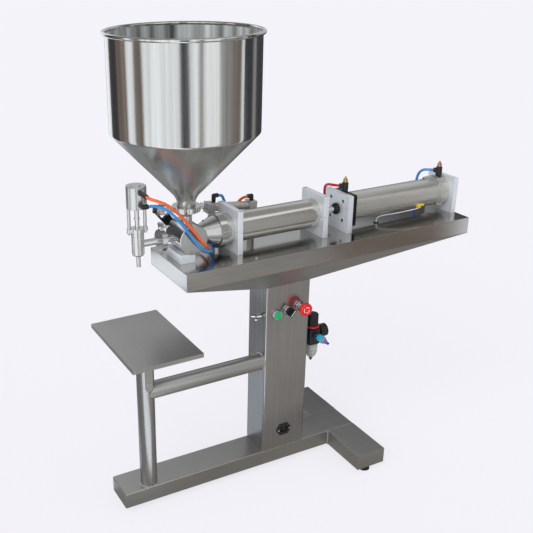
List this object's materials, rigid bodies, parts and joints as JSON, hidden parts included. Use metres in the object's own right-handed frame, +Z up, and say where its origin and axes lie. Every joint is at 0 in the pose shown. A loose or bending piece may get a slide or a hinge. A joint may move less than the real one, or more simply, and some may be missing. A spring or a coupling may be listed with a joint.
{
  "type": "piston paste filling machine",
  "caption": "Free-standing piston filler for paste: hopper over a rotary valve, material cylinder driven by an air cylinder, shut-off nozzle over a bottle tray on a column stand.",
  "frame": {"origin": "on the floor, under the middle of the machine's length and width", "axes": "+X along the table from the nozzle to the air cylinder, +Y to the back, away from the operator, +Z up"},
  "size_m": [1.163, 0.422, 1.347],
  "materials": {
    "steel_frame": "satin brushed",
    "steel_polished": "polished",
    "steel_machined": "machined",
    "plate": "satin",
    "black": "matte",
    "black_metal": "satin",
    "bezel": "polished",
    "green": "gloss",
    "red": "gloss",
    "grey": "matte",
    "brass": "satin",
    "rubber": "matte",
    "seal": "matte",
    "bowl": "clear",
    "sleeve": "gloss",
    "orange_tube": "gloss",
    "blue_tube": "gloss",
    "red_tube": "gloss",
    "wire": "satin",
    "yellow": "gloss"
  },
  "bodies": {
    "stand": {"floor_beam": "steel_frame", "cross_feet": "steel_frame", "levelling_feet": "rubber", "column": "steel_frame", "column_back_cover": "steel_frame", "table_top": "steel_frame", "table_underbody": "steel_frame", "tray_stand": "steel_frame", "tray_plate": "steel_frame", "fasteners": "steel_machined", "power_inlet": "black", "control_bezels": "bezel", "control_gear": "grey", "regulator_body": "black", "inlet_coupler": "steel_machined", "bracket_bases": "plate", "bracket_caps": "plate", "mount_plates": "plate", "material_cylinder": "steel_polished", "air_barrel": "steel_machined", "cylinder_end_caps": "black_metal", "air_fittings": "black", "reed_sensor": "yellow", "valve_block": "plate", "valve_body": "steel_machined", "actuator_cylinder": "steel_machined", "nozzle_body": "steel_polished", "nozzle_tip": "steel_polished", "nozzle_cylinder": "plate", "hopper": "steel_polished", "hopper_cone": "steel_polished", "pipe_clamps": "steel_polished", "seal_rings": "seal", "tube_nozzle_upper": "orange_tube", "tube_nozzle_lower": "blue_tube", "tube_valve_front": "blue_tube", "tube_valve_rear": "orange_tube", "tube_drive_front": "red_tube", "tube_drive_rear": "blue_tube", "sensor_wire": "wire"},
    "drive": {"drive_rod": "steel_polished", "material_piston": "steel_machined"},
    "valve": {"valve_plug": "steel_machined", "valve_lever": "black_metal"},
    "valve_drive": {"actuator_rod": "steel_machined"},
    "nozzle_needle": {"nozzle_plunger": "steel_polished"},
    "start_button": {"start_button": "green"},
    "selector": {"selector_knob": "black"},
    "stop_stem": {"estop_stem": "grey"},
    "stop_head": {"estop_head": "red"},
    "wing_bolt": {"wing_bolt": "steel_machined"},
    "regulator_knob": {"regulator_knob": "black"},
    "bowl": {"filter_bowl": "bowl"},
    "gauge_needle": {"gauge_needle": "red"},
    "coupler_sleeve": {"slide_sleeve": "sleeve"},
    "hopper_nut": {"hopper_clamp_nut": "steel_machined"},
    "cylinder_nut": {"cylinder_clamp_nut": "steel_machined"},
    "nozzle_nut": {"nozzle_clamp_nut": "steel_machined"},
    "speed_screw_front": {"needle_screw_front": "brass"},
    "speed_screw_rear": {"needle_screw_rear": "brass"}
  },
  "joints": [
    {"name": "drive_slide", "type": "slide", "parent": "stand", "child": "drive", "axis": [1, 0, 0], "range_m": [0, 0.22]},
    {"name": "valve_turn", "type": "hinge", "parent": "stand", "child": "valve", "pos_m": [-0.331, 0, 0.81], "axis": [0, 1, 0], "range_deg": [0, 90]},
    {"name": "valve_drive_slide", "type": "slide", "parent": "stand", "child": "valve_drive", "axis": [0.9945, 0, -0.1045], "range_m": [0, 0.104]},
    {"name": "nozzle_lift", "type": "slide", "parent": "stand", "child": "nozzle_needle", "axis": [0, 0, 1], "range_m": [0, 0.014]},
    {"name": "start_press", "type": "slide", "parent": "stand", "child": "start_button", "axis": [0, 1, 0], "range_m": [0, 0.0035], "stiffness_N_per_m": 900, "springref_m": -0.003},
    {"name": "selector_turn", "type": "hinge", "parent": "stand", "child": "selector", "pos_m": [-0.0275, -0.07, 0.541], "axis": [0, 1, 0], "range_deg": [0, 90]},
    {"name": "stop_press", "type": "slide", "parent": "stand", "child": "stop_stem", "axis": [0, 1, 0], "range_m": [0, 0.004]},
    {"name": "stop_release_turn", "type": "hinge", "parent": "stop_stem", "child": "stop_head", "pos_m": [0.0125, -0.08, 0.547], "axis": [0, -1, 0], "range_deg": [0, 45]},
    {"name": "wing_bolt_turn", "type": "hinge", "parent": "stand", "child": "wing_bolt", "pos_m": [-0.1058, -0.023, 0.527], "axis": [-1, 0, 0], "continuous": true},
    {"name": "pressure_set", "type": "hinge", "parent": "stand", "child": "regulator_knob", "pos_m": [0.0845, -0.018, 0.47], "axis": [0, 0, 1], "range_deg": [0, 720]},
    {"name": "bowl_release", "type": "hinge", "parent": "stand", "child": "bowl", "pos_m": [0.0845, -0.018, 0.37], "axis": [0, 0, 1], "range_deg": [0, 45]},
    {"name": "gauge_turn", "type": "hinge", "parent": "stand", "child": "gauge_needle", "pos_m": [0.128, -0.018, 0.427], "axis": [1, 0, 0], "range_deg": [-270, 0]},
    {"name": "coupler_release", "type": "slide", "parent": "stand", "child": "coupler_sleeve", "axis": [0, 1, 0], "range_m": [0, 0.008], "stiffness_N_per_m": 500, "springref_m": -0.004},
    {"name": "hopper_nut_turn", "type": "hinge", "parent": "stand", "child": "hopper_nut", "pos_m": [-0.3818, 0.01187, 0.889], "axis": [0.0698, 0.9976, 0], "continuous": true},
    {"name": "cylinder_nut_turn", "type": "hinge", "parent": "stand", "child": "cylinder_nut", "pos_m": [-0.2365, 0.06201, 0.80749], "axis": [0, 0.1736, 0.9848], "continuous": true},
    {"name": "nozzle_nut_turn", "type": "hinge", "parent": "stand", "child": "nozzle_nut", "pos_m": [-0.406, -0.0083, 0.8525], "axis": [0, -1, 0], "continuous": true},
    {"name": "speed_turn_front", "type": "hinge", "parent": "stand", "child": "speed_screw_front", "pos_m": [0.189, 0, 0.88], "axis": [0, 0, 1], "range_deg": [0, 720]},
    {"name": "speed_turn_rear", "type": "hinge", "parent": "stand", "child": "speed_screw_rear", "pos_m": [0.548, 0, 0.88], "axis": [0, 0, 1], "range_deg": [0, 720]}
  ],
  "couplings": [
    {"joint": "valve_drive_slide", "follows": "valve_turn", "m_per_rad": 0.066208}
  ]
}
